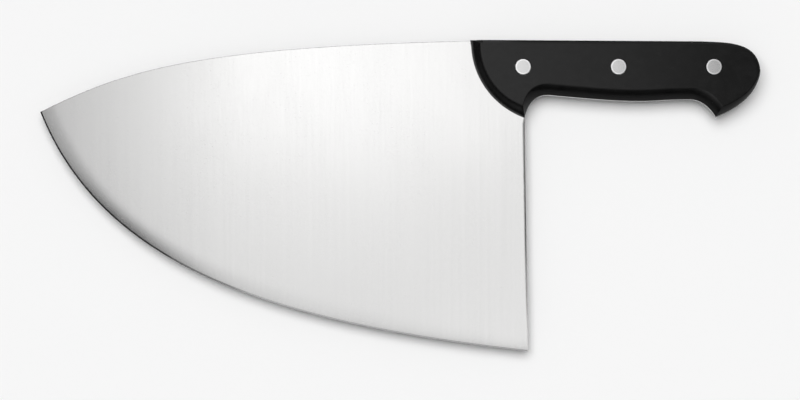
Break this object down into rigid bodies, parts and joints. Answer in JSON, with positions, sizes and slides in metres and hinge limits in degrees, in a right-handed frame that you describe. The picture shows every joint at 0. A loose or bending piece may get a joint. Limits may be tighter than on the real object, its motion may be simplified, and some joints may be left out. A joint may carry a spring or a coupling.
{
  "type": "fish splitting knife",
  "caption": "Wide-bladed fishmonger's knife: a broad sheet-steel blade with a curved cutting edge and square heel, a full tang, and black plastic handle scales held by flush rivets.",
  "frame": {"origin": "on the lower scale's flat outer face, on the line of the rivets, midway between the front and middle rivets", "axes": "+X along the knife from the tip towards the butt, +Y across it from the cutting edge towards the spine, +Z through its thickness from the lower scale towards the upper one"},
  "size_m": [0.4133, 0.1787, 0.0186],
  "materials": {
    "steel": "satin ground, brushed across the blade",
    "black_plastic": "moulded, satin",
    "rivet_steel": "ground flush, fine circular marks"
  },
  "bodies": {
    "root": {"blade": "steel", "upper_scale": "black_plastic", "lower_scale": "black_plastic", "front_rivet_pin": "rivet_steel", "front_rivet_socket": "rivet_steel", "middle_rivet_pin": "rivet_steel", "middle_rivet_socket": "rivet_steel", "rear_rivet_pin": "rivet_steel", "rear_rivet_socket": "rivet_steel"}
  },
  "joints": []
}
